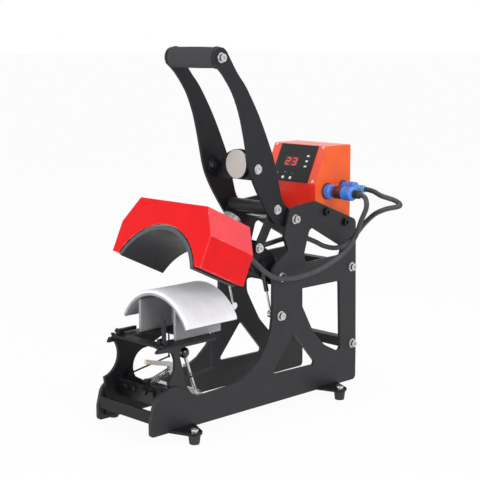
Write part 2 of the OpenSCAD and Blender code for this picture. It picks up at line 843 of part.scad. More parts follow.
module cross_tube() {
    color([0.12, 0.12, 0.14]) shop() difference() {
        union() {
            pin(-link_in + clearance, 2 * (link_in - clearance), link_top, 12);
            pin(-arm_in, 2 * arm_in, link_top, shaft_r);
        }
        both() pin(arm_in - 20, 21, link_top, bolt_r + running);
    }
}

module disc_bracket() {
    color([0.12, 0.12, 0.14]) shop() difference() {
        union() {
            along(disc_open[0] + disc_t / 2 + 7, 4) difference() {
                translate([0, 400]) circle(r = 61);
                translate([-70, 300]) square([140, 108]);
                translate([arm_in, 400]) square([20, 70]);
                translate([-arm_in - 20, 400]) square([20, 70]);
            }
            both() slab(arm_in - 3, 3) polygon(rounded([[246, 422, 6], [246, 440, 6], [disc_open[0] + 10, 446, 0],
                [disc_open[0] + 10, 408, 0]]));
            translate([0, disc_open[0] + disc_t / 2, disc_open[1]]) rotate([-90, 0, 0]) cylinder(h = 4, r = 12);
        }
        both() pin(arm_in - 4, 5, disc_mount, bolt_r + clearance);
        translate([0, disc_open[0], disc_open[1]]) rotate([-90, 0, 0]) cylinder(h = 15, r = bolt_r + clearance);
    }
}

module strike_disc() {
    color([0.74, 0.75, 0.75]) shop() translate([0, disc_open[0], disc_open[1]]) rotate([-90, 0, 0]) {
        translate([0, 0, -disc_t / 2]) cylinder(h = disc_t, r = disc_d / 2);
        cylinder(h = 16, r = bolt_r);
    }
}

module handle_bolts() {
    color([0.75, 0.76, 0.78]) shop() {
        both() {
            bolt(link_top, arm_x, arm_t + 16, 1, 3.1);
            bolt([grip_y, grip_z], arm_x, arm_t + 16);
            bolt(disc_mount, arm_x, arm_t + 8, 1.5, 2.7);
            translate([arm_in - 8, disc_mount[0], disc_mount[1]]) rotate([0, 90, 0]) difference() {
                cylinder(h = 4.9, r = 6.5, $fn = 6);
                translate([0, 0, -1]) cylinder(h = 7, r = bolt_r - 0.1);
            }
        }
        translate([0, disc_open[0] + disc_t / 2 + 7.1, disc_open[1]]) rotate([-90, 0, 0]) difference() {
            cylinder(h = 5, r = 6.5, $fn = 6);
            translate([0, 0, -1]) cylinder(h = 7, r = bolt_r + running);
        }
    }
}

// Head, drawn closed and level about the head pivot

module cover_outline(wall) {
    w = cover_w / 2;
    offset(delta = -wall) polygon([[-w, cover_bottom], [w, cover_bottom], [w, 4.5], [w - 27, cover_top],
        [27 - w, cover_top], [-w, 4.5]]);
}

module head_cover() {
    color([0.86, 0.07, 0.09]) on_head() difference() {
        along(cover_back, cover_l) cover_outline(0);
        along(cover_back - cover_wall, cover_l - 2 * cover_wall) cover_outline(cover_wall);
        along(cover_back + 1, cover_l + 2) translate([0, arch_rel]) circle(r = cut_r, $fa = 4);
        translate([-48, cover_back - cover_wall - 1, 22]) cube([96, cover_wall + 2, cover_top - cover_wall - 22]);
        cable_entry(2) cylinder(h = 8, r = cable_d / 2 + clearance);
    }
    color([0.86, 0.07, 0.09]) on_head() difference() {
        cable_entry(0) cylinder(h = gland_l, r = cable_d / 2 + 4);
        cable_entry(2) cylinder(h = gland_l + 4, r = cable_d / 2 + clearance);
    }
}

// Place of the cable gland on the cover's rear wall, sunk that deep
module cable_entry(sunk) {
    translate([gland_x, cover_back - sunk - 0.5, gland_z]) rotate([-90, 0, 0]) children();
}

module platen_arc(y, l, r0, r1, half) {
    along(y, l) translate([0, arch_rel]) arc_band(r0, r1, half);
}

module studs(r, z, h) {
    for (x = [-24, 24]) for (y = [cover_back - 30, cover_back - cover_l + 30])
        translate([x, y, z]) cylinder(h = h, r = r);
}

module heat_platen() {
    color([0.3, 0.3, 0.31]) on_head() {
        platen_arc(cover_back - 1, cover_l - 2, platen_r, platen_out, platen_half);
        studs(6, arch_rel + platen_out - 6, 13);
    }
}

module heating_element() {
    color([0.7, 0.35, 0.15]) on_head() difference() {
        platen_arc(cover_back - 8, cover_l - 16, platen_out, platen_out + 1.8, platen_half - 8);
        studs(6.6, arch_rel + platen_r - 8, 40);
    }
}

module insulation() {
    color([0.85, 0.83, 0.75]) on_head() difference() {
        platen_arc(cover_back - 6, cover_l - 12, platen_out + 1.8, platen_out + 12, platen_half - 16);
        studs(6.6, arch_rel + platen_r - 8, 40);
    }
}

module carrier_outline() {
    union() {
        polygon(rounded([[-218, 27, 4], [-218, 45, 4], [-124, 45, 1], [-121, 60, 3], [-76, 42, 8],
            [low_rel[0], low_rel[1] + 12, 6], [-12, 36, 16], [17, 12, 10], [14, -10, 10], [-8, -16, 8],
            [-44, -6, 10], [-80, 12, 20], [-128, 26, 20]]));
        translate(low_rel) circle(r = 12);
        circle(r = 17);
    }
}

module head_carrier() {
    x0 = carrier_x - carrier_t;
    color([0.13, 0.13, 0.15]) on_head() difference() {
        union() {
            both() slab(x0, carrier_t) carrier_outline();
            both() {
                pin(x0, link_in - clearance - x0, low_rel, 9);
                pin(x0, gas_x + 4.2 - x0, gas_rel, 4);
                pin(gas_x + 4.2, 1.5, gas_rel, 5.5);
            }
            translate([-x0, -214, 27]) cube([2 * x0, 78, 4]);
            pin(-hub_x, 2 * hub_x, [0, 0], shaft_r + 5);
            translate([0, face_rel[0], face_rel[1]]) rotate([-magnet_tilt, 0, 0])
                translate([-x0, -21, -magnet_h - 5]) cube([2 * x0, 42, 5]);
        }
        pin(-hub_x - 1, 2 * hub_x + 2, [0, 0], shaft_r + running);
        studs(bolt_r + clearance, 20, 20);
        translate([0, face_rel[0], face_rel[1]]) rotate([-magnet_tilt, 0, 0])
            translate([0, 0, -magnet_h - 6]) cylinder(h = 8, r = bolt_r + clearance);
    }
}

module electromagnet() {
    color([0.72, 0.72, 0.7]) on_head() translate([0, face_rel[0], face_rel[1]]) rotate([-magnet_tilt, 0, 0])
        difference() {
            union() {
                translate([0, 0, -magnet_h]) cylinder(h = magnet_h, r = magnet_d / 2);
                translate([0, 0, -magnet_h - 12]) cylinder(h = 13, r = bolt_r);
                translate([0, 0, -14]) rotate([-90, 0, 0]) cylinder(h = magnet_d / 2 + 8, r = 6);
            }
            translate([0, magnet_d / 2 + 1, -14]) rotate([-90, 0, 0]) cylinder(h = 8, r = cable_d / 2 + clearance);
            translate([0, 0, -1]) difference() {
                cylinder(h = 2, r = magnet_d / 2 - 4);
                translate([0, 0, -1]) cylinder(h = 4, r = magnet_d / 4 - 1);
            }
        }
}

module head_nuts() {
    color([0.78, 0.79, 0.81]) on_head() {
        studs(bolt_r, arch_rel + platen_out + 7, 30);
        difference() {
            studs(6.5, 31, 5.5);
            studs(bolt_r - 0.5, 30, 3);
        }
        translate([0, face_rel[0], face_rel[1]]) rotate([-magnet_tilt, 0, 0]) translate([0, 0, -magnet_h - 10.6])
            difference() {
                cylinder(h = 5.5, r = 6.5, $fn = 6);
                translate([0, 0, -1]) cylinder(h = 8, r = bolt_r + running);
            }
    }
}

// Toggle links and gas springs

module link_outline() {
    d = unit(link_low - link_top);
    s = [-d[1], d[0]];
    difference() {
        union() {
            translate(link_top) circle(r = 12);
            translate(link_low) circle(r = 10);
            polygon([link_top + 9 * s, link_low + 9 * s, link_low - 9 * s, link_top - 9 * s]);
        }
        translate(link_top) circle(r = shaft_r + running);
        translate(link_low) circle(r = bolt_r + clearance);
    }
}

module toggle_links() {
    color([0.15, 0.15, 0.17]) shop() both() slab(link_in, link_t) link_outline();
}

module link_bolts() {
    color([0.75, 0.76, 0.78]) shop() both() bolt(link_low, link_out, link_t, 0.8, 4);
}

// Gas spring drawn along -Z from its upper eye
module gas_place(side) {
    shop() translate([side * gas_x, gas_top_y, gas_top_z]) rotate([gas_tilt, 0, 0]) children();
}

module gas_cylinder(side) {
    color([0.08, 0.08, 0.09]) gas_place(side) difference() {
        union() {
            translate([0, 0, -51]) cylinder(h = 45, r = gas_r - 1);
            translate([0, 0, -50]) cylinder(h = 42, r = gas_r);
            translate([-3.7, 0, 0]) rotate([0, 90, 0]) cylinder(h = 7.4, r = 7.5);
        }
        translate([-5, 0, 0]) rotate([0, 90, 0]) cylinder(h = 10, r = 4 + running);
        translate([0, 0, -60]) cylinder(h = 44, r = gas_rod_r + running);
    }
}

module gas_rod(side) {
    color([0.82, 0.83, 0.85]) gas_place(side) {
        translate([0, 0, -gas_len]) cylinder(h = gas_len - 32, r = gas_rod_r);
        translate([-3.7, 0, -gas_len]) rotate([0, 90, 0]) cylinder(h = 7.4, r = 6.5);
    }
}

module gas_cylinder_left() {
    gas_cylinder(-1);
}

module gas_cylinder_right() {
    gas_cylinder(1);
}

module gas_rod_left() {
    gas_rod(-1);
}

module gas_rod_right() {
    gas_rod(1);
}

module button(x) {
    color([0.92, 0.92, 0.93]) shop() on_panel() translate([x, 0, 8]) rotate([90, 0, 0]) {
        translate([0, 0, -6.4 + button_travel]) cylinder(h = 8.6 - button_travel, r = button_d / 2);
        translate([0, 0, -4.5]) cylinder(h = 2, r = button_d / 2 + 1);
    }
}

module button_left() {
    button(-17);
}

module button_right() {
    button(1);
}

side_plate_left();
side_plate_right();
front_cross_plate();
rear_crossbars();
foot_brackets();
rubber_feet();
frame_bolts();
pivot_shafts();
pivot_spacers();
black_bolts();
stand_arms();
stand_top_plate();
stand_tray();
lower_form();
form_pad();
clamp_shaft();
stay_rods();
control_box();
control_panel();
display_window();
circuit_board();
power_block();
panel_screws();
mains_inlet();
cable_sockets();
heater_plug();
plug_collar();
magnet_plug();
heater_cable();
magnet_cable();
handle_arm_left();
handle_arm_right();
grip_tube();
grip_foam();
cross_tube();
disc_bracket();
strike_disc();
handle_bolts();
head_cover();
heat_platen();
heating_element();
insulation();
head_carrier();
electromagnet();
head_nuts();
toggle_links();
link_bolts();
gas_cylinder_left();
gas_cylinder_right();
gas_rod_left();
gas_rod_right();
clamp_lever();
clamp_knob();
clamp_tip();
clamp_spring();
band_finger_left();
band_finger_right();
power_rocker();
button_left();
button_right();
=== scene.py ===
# Looks of the cap heat press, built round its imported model. Metres, +Z up, the operator at -Y.
import json
import math

import bmesh
import bpy
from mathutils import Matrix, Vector


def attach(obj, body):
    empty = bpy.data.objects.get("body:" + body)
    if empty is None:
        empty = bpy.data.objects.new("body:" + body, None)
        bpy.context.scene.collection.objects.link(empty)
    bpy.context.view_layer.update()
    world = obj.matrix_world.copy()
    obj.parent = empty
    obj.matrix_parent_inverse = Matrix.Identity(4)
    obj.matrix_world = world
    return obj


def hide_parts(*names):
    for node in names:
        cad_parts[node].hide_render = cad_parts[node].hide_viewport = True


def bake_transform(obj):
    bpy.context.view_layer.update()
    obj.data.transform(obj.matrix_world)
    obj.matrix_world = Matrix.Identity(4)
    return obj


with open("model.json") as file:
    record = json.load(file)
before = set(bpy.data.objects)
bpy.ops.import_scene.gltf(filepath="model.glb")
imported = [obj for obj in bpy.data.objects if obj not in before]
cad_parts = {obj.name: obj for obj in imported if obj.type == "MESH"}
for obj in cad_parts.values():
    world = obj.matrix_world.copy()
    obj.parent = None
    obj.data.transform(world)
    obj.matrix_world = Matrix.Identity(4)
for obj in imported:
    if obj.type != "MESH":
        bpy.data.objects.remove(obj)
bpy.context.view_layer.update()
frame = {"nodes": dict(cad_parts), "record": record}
RECORD = frame["record"]
BODY_OF = {node: body for body, nodes in RECORD["behaviour"]["bodies"].items() for node in nodes}

# In millimetres: the side plates' front edge ahead of the origin, and their inner faces beside it
PLATE_HALF = 254
INNER_X = 64.5
OUTWARD = (1, 0, 0)
UP = (0, 0, 1)


def at(x, y, z):
    """A point given in millimetres, with y from the front edge of the side plates."""
    return Vector((x, y - PLATE_HALF, z)) / 1000


# Camera at the photograph's viewing angle

CAMERA_PLACE = at(1537.65, -1250.48, 653.32)
CAMERA_PITCH = 80.73
CAMERA_TURN = 45.3
LENS_MM = 93.26
SENSOR_MM = 36

camera_data = bpy.data.cameras.new("camera")
camera_data.lens = LENS_MM
camera_data.sensor_width = SENSOR_MM
camera = bpy.data.objects.new("camera", camera_data)
camera.location = CAMERA_PLACE
camera.rotation_euler = (math.radians(CAMERA_PITCH), 0, math.radians(CAMERA_TURN))
bpy.context.collection.objects.link(camera)
bpy.context.scene.camera = camera


# Colour and material helpers

# The sockets of a Mix node that blends colours, and the range that most of a noise lies in
MIX_FACTOR, MIX_FIRST, MIX_SECOND, MIX_RESULT = 0, 6, 7, 2
NOISE_LOW, NOISE_HIGH = 0.3, 0.7

# Scale of a Wave texture whose bands lie 0.9 mm apart
THREAD_SCALE = 350


def srgb(red, green, blue):
    """Linear colour of a written 0-255 colour."""
    def linear(value):
        value /= 255
        return value / 12.92 if value <= 0.04045 else ((value + 0.055) / 1.055) ** 2.4
    return (linear(red), linear(green), linear(blue), 1)


def scaled(colour, factor):
    """A lighter or darker colour."""
    return tuple(min(1, channel * factor) for channel in colour[:3]) + (1,)


class Surface:
    """A Principled material whose colour, roughness and bump come from layers of noise."""

    def __init__(self, name, rough, **constants):
        self.material = bpy.data.materials.new(name)
        self.material.use_nodes = True
        self.nodes = self.material.node_tree.nodes
        self.links = self.material.node_tree.links
        self.shader = self.nodes["Principled BSDF"]
        self.rough = rough
        self.shader.inputs["Roughness"].default_value = rough
        for socket, value in constants.items():
            self.shader.inputs[socket.replace("_", " ")].default_value = value
        self.place = self.nodes.new("ShaderNodeTexCoord").outputs["Object"]
        self.bump = None

    def noise(self, size, detail=4, stretch=(1, 1, 1), kind="ShaderNodeTexNoise"):
        """Noise whose features are about size metres across."""
        mapping = self.nodes.new("ShaderNodeMapping")
        mapping.inputs["Scale"].default_value = stretch
        texture = self.nodes.new(kind)
        texture.inputs["Scale"].default_value = 1 / size
        if "Detail" in texture.inputs:
            texture.inputs["Detail"].default_value = detail
        self.links.new(self.place, mapping.inputs["Vector"])
        self.links.new(mapping.outputs["Vector"], texture.inputs["Vector"])
        return texture.outputs["Fac" if "Fac" in texture.outputs else "Distance"]

    def ramp(self, value, low, high, out_low=0.0, out_high=1.0):
        """The value with its stretch from low to high drawn out to out_low and out_high."""
        node = self.nodes.new("ShaderNodeMapRange")
        ends = {"From Min": low, "From Max": high, "To Min": out_low, "To Max": out_high}
        for socket, number in ends.items():
            node.inputs[socket].default_value = number
        self.links.new(value, node.inputs["Value"])
        return node.outputs["Result"]

    def mix(self, factor, first, second):
        """A blend of two colours, each given as numbers or as a socket."""
        node = self.nodes.new("ShaderNodeMix")
        node.data_type = "RGBA"
        for index, value in ((MIX_FIRST, first), (MIX_SECOND, second)):
            if isinstance(value, tuple):
                node.inputs[index].default_value = value
            else:
                self.links.new(value, node.inputs[index])
        self.links.new(factor, node.inputs[MIX_FACTOR])
        return node.outputs[MIX_RESULT]

    def times(self, first, second):
        node = self.nodes.new("ShaderNodeMath")
        node.operation = "MULTIPLY"
        self.links.new(first, node.inputs[0])
        self.links.new(second, node.inputs[1])
        return node.outputs[0]

    def wear(self):
        """1 on the rounded edges of a dressed piece, 0 on its faces. The coats lighten these edges, as wear
        and as a painted highlight.
        """
        node = self.nodes.new("ShaderNodeAttribute")
        node.attribute_name = "wear"
        return node.outputs["Fac"]

    def colour(self, socket, name="Base Color"):
        self.links.new(socket, self.shader.inputs[name])

    def roughness(self, clouds, less, more):
        """Roughness that drifts with the clouds, from less below its own value to more above it."""
        drift = self.ramp(clouds, NOISE_LOW, NOISE_HIGH, self.rough - less, self.rough + more)
        self.links.new(drift, self.shader.inputs["Roughness"])

    def relief(self, height, depth):
        """Adds a layer of bump that is depth metres high."""
        node = self.nodes.new("ShaderNodeBump")
        node.inputs["Distance"].default_value = depth
        self.links.new(height, node.inputs["Height"])
        if self.bump is not None:
            self.links.new(self.bump, node.inputs["Normal"])
        self.bump = node.outputs["Normal"]
        self.links.new(self.bump, self.shader.inputs["Normal"])


# Kinds of material. Grain is the size of the finest bumps and depth their height, both in metres.

def coated(name, colour, worn_and_lit, rough, grain, depth, worn_and_lit_share=0.5, **constants):
    """A coat with orange peel and a mottled colour, its rounded edges lightened in patches towards another
    colour, as wear and as a painted highlight along the edges.
    """
    surface = Surface(name, rough, **constants)
    mottle = surface.ramp(surface.noise(0.035, detail=5), 0.35, 0.65)
    base = surface.mix(mottle, scaled(colour, 0.95), scaled(colour, 1.05))
    patches = surface.ramp(surface.noise(0.006, detail=6), 0.45, 0.62)
    edge = surface.times(surface.wear(), surface.ramp(patches, 0, 1, 0.15, worn_and_lit_share))
    surface.colour(surface.mix(edge, base, worn_and_lit))
    surface.roughness(surface.noise(0.012, detail=5), less=0.06, more=0.07)
    surface.relief(surface.noise(grain, detail=2), depth)
    return surface.material


def powder(name, colour, worn_and_lit, rough, specular, worn_and_lit_share=0.5, grain=0.0007, depth=0.00003):
    """Matt powder coat."""
    return coated(name, colour, worn_and_lit, rough, grain, depth, worn_and_lit_share, Specular_IOR_Level=specular)


def enamel(name, colour, worn_and_lit, rough=0.34, depth=0.000008, specular=0.3, coat=0.2, coat_rough=0.14):
    """Glossy paint."""
    return coated(name, colour, worn_and_lit, rough, grain=0.0014, depth=depth, worn_and_lit_share=0.75,
                  Specular_IOR_Level=specular, Coat_Weight=coat, Coat_Roughness=coat_rough)


def metal(name, colour, rough, grain=0.0006, stretch=(1, 1, 1), depth=0.00001, stain=0.8):
    """Bare metal, clouded down to stain times its colour."""
    surface = Surface(name, rough, Metallic=1.0)
    cloud = surface.ramp(surface.noise(0.004, detail=5), 0.35, 0.7)
    surface.colour(surface.mix(cloud, colour, scaled(colour, stain)))
    surface.roughness(surface.noise(0.002), less=0.07, more=0.1)
    surface.relief(surface.noise(grain, detail=3, stretch=stretch), depth)
    return surface.material


def moulded(name, colour, rough, grain=0.0005, depth=0.00001, spread=0.12, **constants):
    """Plastic, rubber or the like, its colour varied by spread either way."""
    surface = Surface(name, rough, **constants)
    cloud = surface.ramp(surface.noise(0.01, detail=5), NOISE_LOW, NOISE_HIGH)
    surface.colour(surface.mix(cloud, scaled(colour, 1 - spread), scaled(colour, 1 + spread)))
    surface.roughness(surface.noise(0.003), less=0.05, more=0.08)
    surface.relief(surface.noise(grain, detail=2), depth)
    return surface.material


def foam(name, colour):
    """Open foam with pores of about 1 mm, darker towards the bottom of each pore as painted shade in the
    pits.
    """
    surface = Surface(name, 0.92, Specular_IOR_Level=0.25)
    pores = surface.noise(0.0011, kind="ShaderNodeTexVoronoi")
    # Darker towards the bottom of each pore, which is painted shade in the pits.
    surface.colour(surface.mix(surface.ramp(pores, 0.1, 0.7), scaled(colour, 0.6), scaled(colour, 1.35)))
    surface.relief(surface.ramp(pores, 0.0, 0.6), 0.00025)
    surface.relief(surface.noise(0.012, detail=3), 0.0006)
    return surface.material


def woven(name, colour):
    """Plain weave of 0.9 mm threads, slightly soiled in patches, and lighter where the threads stand
    highest, which is painted highlight.
    """
    surface = Surface(name, 0.85, Specular_IOR_Level=0.3, Sheen_Weight=0.15)
    threads = []
    for direction in ("X", "Y"):
        wave = surface.nodes.new("ShaderNodeTexWave")
        wave.bands_direction = direction
        wave.inputs["Scale"].default_value = THREAD_SCALE
        wave.inputs["Distortion"].default_value = 0.4
        surface.links.new(surface.place, wave.inputs["Vector"])
        threads.append(wave.outputs["Fac"])
    weave = surface.times(*threads)
    soil = surface.ramp(surface.noise(0.03, detail=5), 0.35, 0.75)
    base = surface.mix(soil, colour, scaled(colour, 0.88))
    # Lighter where the threads stand highest, which is painted highlight.
    surface.colour(surface.mix(surface.ramp(weave, 0, 1, 0.0, 0.25), base, scaled(colour, 1.08)))
    surface.relief(weave, 0.00012)
    surface.relief(surface.noise(0.02, detail=3), 0.0004)
    return surface.material


def glowing(name):
    """Red plastic of the lit digits."""
    surface = Surface(name, 0.3, Emission_Strength=1.1)
    surface.colour(surface.mix(surface.noise(0.004), srgb(200, 16, 20), srgb(226, 30, 34)))
    glow = surface.mix(surface.noise(0.003), srgb(236, 26, 30), srgb(255, 60, 60))
    surface.colour(glow, "Emission Color")
    return surface.material


# Coats

# The second colour of each coat is that of its rounded edges: wear and painted highlight together.
POWDER = powder("powder_black", srgb(34, 35, 38), srgb(88, 89, 92), 0.5, 0.35, worn_and_lit_share=0.45)
POWDER_FINE = powder("powder_black_fine", srgb(24, 25, 29), srgb(92, 93, 97), 0.42, 0.3,
                     grain=0.0006, depth=0.00002)
# The black powder darkened and made slightly bluish for the handle arms, as painted shade.
POWDER_ARM_PAINTED_SHADE = powder("powder_black_arm", srgb(24, 25, 31), srgb(84, 86, 92), 0.48, 0.27)
# The black powder darkened as painted shade, for the stand, tray, cross plate and foot brackets.
POWDER_PAINTED_SHADE = powder("powder_black_deep", srgb(16, 17, 20), srgb(84, 86, 90), 0.46, 0.24)
NON_STICK = powder("platen_coat", srgb(45, 45, 48), srgb(110, 110, 112), 0.42, 0.35,
                   worn_and_lit_share=0.35, grain=0.0009, depth=0.00002)
PLATEN_RIM = powder("platen_rim", srgb(70, 77, 82), srgb(128, 134, 140), 0.38, 0.4,
                    worn_and_lit_share=0.6, grain=0.0009, depth=0.00002)
GREY_PAINT = powder("form_grey", srgb(150, 150, 154), srgb(190, 190, 192), 0.45, 0.5,
                    grain=0.001, depth=0.00002)
RED = enamel("red_coat", srgb(218, 4, 12), srgb(246, 120, 112), depth=0.000005, specular=0.16, coat=0.1)
# Red for the head cover's bevels, lightened to pink as a painted sheen of light from above, and glossier.
BEVEL_RED_PAINTED_SHEEN = enamel("bevel_red_coat", srgb(234, 56, 66), srgb(250, 150, 150), rough=0.3, depth=0.000005)
ORANGE = enamel("orange_coat", srgb(240, 92, 30), srgb(255, 172, 122), rough=0.36, coat=0.15,
                coat_rough=0.18)
FRONT_RED = enamel("front_red_coat", srgb(252, 50, 32), srgb(252, 150, 128), specular=0.25)
# The box's front red lightened for its top and slope, as painted light from above.
SLOPE_RED_PAINTED_LIGHT = enamel("slope_red_coat", srgb(242, 88, 60), srgb(255, 168, 140))

# Metals

ZINC = metal("zinc", srgb(222, 223, 222), 0.2, stain=0.7)
SPRING_STEEL = metal("spring_steel", srgb(160, 162, 166), 0.26, stain=0.7)
OXIDE = metal("black_oxide", srgb(62, 62, 66), 0.38, stain=0.6)
GROUND = metal("ground_steel", srgb(196, 198, 200), 0.28, grain=0.0008, stretch=(0.05, 1, 1))
TURNED = metal("turned_face", srgb(188, 183, 179), 0.46, grain=0.0012, depth=0.000006, stain=0.95)
MAGNET = metal("magnet_steel", srgb(150, 149, 148), 0.34, grain=0.0012, depth=0.000006)
CHROME = metal("chrome", srgb(232, 234, 236), 0.1, stain=0.95)
LEVER = metal("lever_steel", srgb(206, 202, 198), 0.36, stain=0.88)

# Rubber, plastics and boards

RUBBER = moulded("rubber", srgb(40, 40, 42), 0.62, grain=0.0009, depth=0.00004, spread=0.25)
SHEATH = moulded("cable_sheath", srgb(55, 57, 61), 0.5, grain=0.0011, depth=0.00003, spread=0.15)
PANEL = moulded("panel_film", srgb(22, 22, 25), 0.45, grain=0.0004, depth=0.000015, spread=0.08,
                Specular_IOR_Level=0.35)
GLASS = moulded("display_glass", srgb(30, 12, 14), 0.12, grain=0.01, depth=0.000001, spread=0.1,
                Coat_Weight=0.6)
BOARD = moulded("solder_mask", srgb(26, 104, 62), 0.4, grain=0.002, depth=0.00005, spread=0.2)
BLOCK = moulded("block_grey", srgb(120, 120, 126), 0.5, grain=0.001, depth=0.00003)
SWITCH = moulded("inlet_black", srgb(36, 36, 38), 0.4, grain=0.0006, depth=0.00002)
BLUE = moulded("connector_blue", srgb(60, 122, 214), 0.28, grain=0.0008, spread=0.1, Coat_Weight=0.4)
BOOT_BLUE = moulded("boot_blue", srgb(104, 160, 214), 0.4)
MAROON = moulded("collar_maroon", srgb(78, 26, 32), 0.3, grain=0.0008, spread=0.15, Coat_Weight=0.3)
KNOB = moulded("knob_black", srgb(12, 12, 14), 0.2, grain=0.01, depth=0.000002, spread=0.1,
               Coat_Weight=0.3)
NYLON = moulded("nylon_cream", srgb(228, 217, 190), 0.4, grain=0.0012, depth=0.00003, spread=0.06,
                Subsurface_Weight=0.1)
BUTTON = moulded("button_white", srgb(248, 248, 250), 0.35, grain=0.0008, spread=0.04)
ROCKER = moulded("rocker_red", srgb(168, 24, 24), 0.2, grain=0.001, spread=0.1, Coat_Weight=0.4)
HEATER = moulded("heater_mat", srgb(186, 104, 56), 0.6, grain=0.0015, depth=0.00008)
FELT = moulded("fibre_felt", srgb(214, 206, 184), 0.95, grain=0.0012, depth=0.0003)
CYLINDER = moulded("cylinder_black", srgb(26, 26, 28), 0.2, grain=0.002, depth=0.000004, spread=0.1,
                   Coat_Weight=0.5)
MARK = moulded("mark_white", srgb(226, 228, 230), 0.5, grain=0.001, spread=0.05)
ICON = moulded("mark_grey", srgb(128, 130, 134), 0.5, grain=0.001, spread=0.05)
LIT = glowing("lit_red")
FOAM = foam("grip_foam", srgb(52, 52, 54))
PAD = woven("pad_cloth", srgb(240, 241, 245))


# Mesh helpers

# Points within WELD metres of each other are joined. Of the angles, in degrees, edges below FLAT are
# taken out, those above CREASE are rounded, and those above SMOOTH show as edges in the shading.
WELD = 2e-6
FLAT = 0.6
CREASE = 28
SMOOTH = 40


def add_object(name, mesh, material, body=None, node=None):
    """A piece that rides on a body and stands for a CAD node, where these are named."""
    piece = bpy.data.objects.new(name, mesh)
    bpy.context.collection.objects.link(piece)
    mesh.materials.append(material)
    if body is not None:
        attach(piece, body)
    if node is not None:
        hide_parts(node)
    return piece


def mesh_from(name, points, faces):
    """A smooth mesh out of points in metres and faces."""
    mesh = bpy.data.meshes.new(name)
    mesh.from_pydata([tuple(point) for point in points], [], faces)
    mesh.validate()
    mesh.polygons.foreach_set("use_smooth", [True] * len(mesh.polygons))
    mesh.update()
    return mesh


def mark_sharp(bm, angle):
    """Smooth faces, with a crease where two of them meet at angle degrees or more."""
    for edge in bm.edges:
        edge.smooth = edge.is_manifold and edge.calc_face_angle(0) < math.radians(angle)
    for face in bm.faces:
        face.smooth = True


def dress(node, material, radius, segments=2, others=(), chooser=None, recut=None):
    """A copy of a CAD node with its edges rounded by radius millimetres, in its place. chooser gives the
    number of each face's material, 0 for the first and 1 on for the others. recut changes the copy first."""
    bm = bmesh.new()
    bm.from_mesh(frame["nodes"][node].data)
    if recut is not None:
        recut(bm)
    bmesh.ops.remove_doubles(bm, verts=bm.verts, dist=WELD)
    bmesh.ops.dissolve_limit(bm, angle_limit=math.radians(FLAT), verts=bm.verts, edges=bm.edges)
    sharp = [e for e in bm.edges if e.is_manifold and e.calc_face_angle(0) > math.radians(CREASE)]
    # The rounded edges are marked here; the coats lighten them as wear and as a painted highlight.
    wear = bm.loops.layers.float_color.new("wear")
    made = bmesh.ops.bevel(bm, geom=sharp, offset=radius / 1000, offset_type="OFFSET", segments=segments,
                           profile=0.5, affect="EDGES", clamp_overlap=True)
    rounded = set(made["faces"])
    for face in bm.faces:
        share = 1.0 if face in rounded else 0.0
        for loop in face.loops:
            loop[wear] = (share, share, share, 1)
        if chooser is not None:
            face.material_index = chooser(face)
    mark_sharp(bm, SMOOTH)
    mesh = bpy.data.meshes.new(node + "_dressed")
    bm.to_mesh(mesh)
    bm.free()
    piece = add_object(node + "_dressed", mesh, material, BODY_OF[node], node)
    for other in others:
        mesh.materials.append(other)
    piece.modifiers.new("even_normals", "WEIGHTED_NORMAL").keep_sharp = True
    return piece


def paint(material, *nodes):
    """Gives CAD nodes that stay as they are a better material."""
    for node in nodes:
        for slot in frame["nodes"][node].material_slots:
            slot.material = material


def soft_edges(mesh, angle=SMOOTH):
    """The mesh with its faces turned outward and its creases marked."""
    bm = bmesh.new()
    bm.from_mesh(mesh)
    bmesh.ops.recalc_face_normals(bm, faces=bm.faces)
    mark_sharp(bm, angle)
    bm.to_mesh(mesh)
    bm.free()
    return mesh


def spoke(side, other, turn):
    """The direction at an angle of turn from side towards other."""
    return side * math.cos(turn) + other * math.sin(turn)


def ring_faces(rings, sides):
    """Faces of a tube whose points lie ring after ring, closed at both ends."""
    faces = []
    for ring in range(rings - 1):
        for step in range(sides):
            following = (step + 1) % sides
            faces.append((ring * sides + step, ring * sides + following,
                          (ring + 1) * sides + following, (ring + 1) * sides + step))
    faces.append(tuple(reversed(range(sides))))
    faces.append(tuple((rings - 1) * sides + step for step in range(sides)))
    return faces


def lathe(origin, axis, profile, sides=48, flutes=0):
    """Points and faces of a body of revolution. The profile lists (along, radius) or (along, radius, flute
    depth) in millimetres from the origin, which is in metres."""
    axis = Vector(axis).normalized()
    side = axis.orthogonal().normalized()
    other = axis.cross(side)
    points = []
    for station in profile:
        along, radius = station[:2]
        depth = station[2] if len(station) > 2 else 0
        for step in range(sides):
            turn = 2 * math.pi * step / sides
            reach = radius - depth * (0.5 + 0.5 * math.cos(flutes * turn))
            points.append(Vector(origin) + (axis * along + spoke(side, other, turn) * reach) / 1000)
    return points, ring_faces(len(profile), sides)


def tube(path, radius, sides=16):
    """Points and faces of a closed tube along the path, in metres."""
    last = len(path) - 1
    points = []
    side = Vector((0.1, 0.2, 1))
    for index, point in enumerate(path):
        along = (path[min(index + 1, last)] - path[max(index - 1, 0)]).normalized()
        side = (side - along * side.dot(along)).normalized()
        other = along.cross(side)
        for step in range(sides):
            points.append(point + spoke(side, other, 2 * math.pi * step / sides) * radius)
    return points, ring_faces(len(path), sides)


def join(*parts):
    """One list of points and faces out of several."""
    points, faces = [], []
    for more_points, more_faces in parts:
        start = len(points)
        points += list(more_points)
        faces += [tuple(index + start for index in face) for face in more_faces]
    return points, faces


def turned(name, material, body, node, *lathes):
    """A piece made of one or more bodies of revolution."""
    return add_object(name, soft_edges(mesh_from(name, *join(*lathes))), material, body, node)


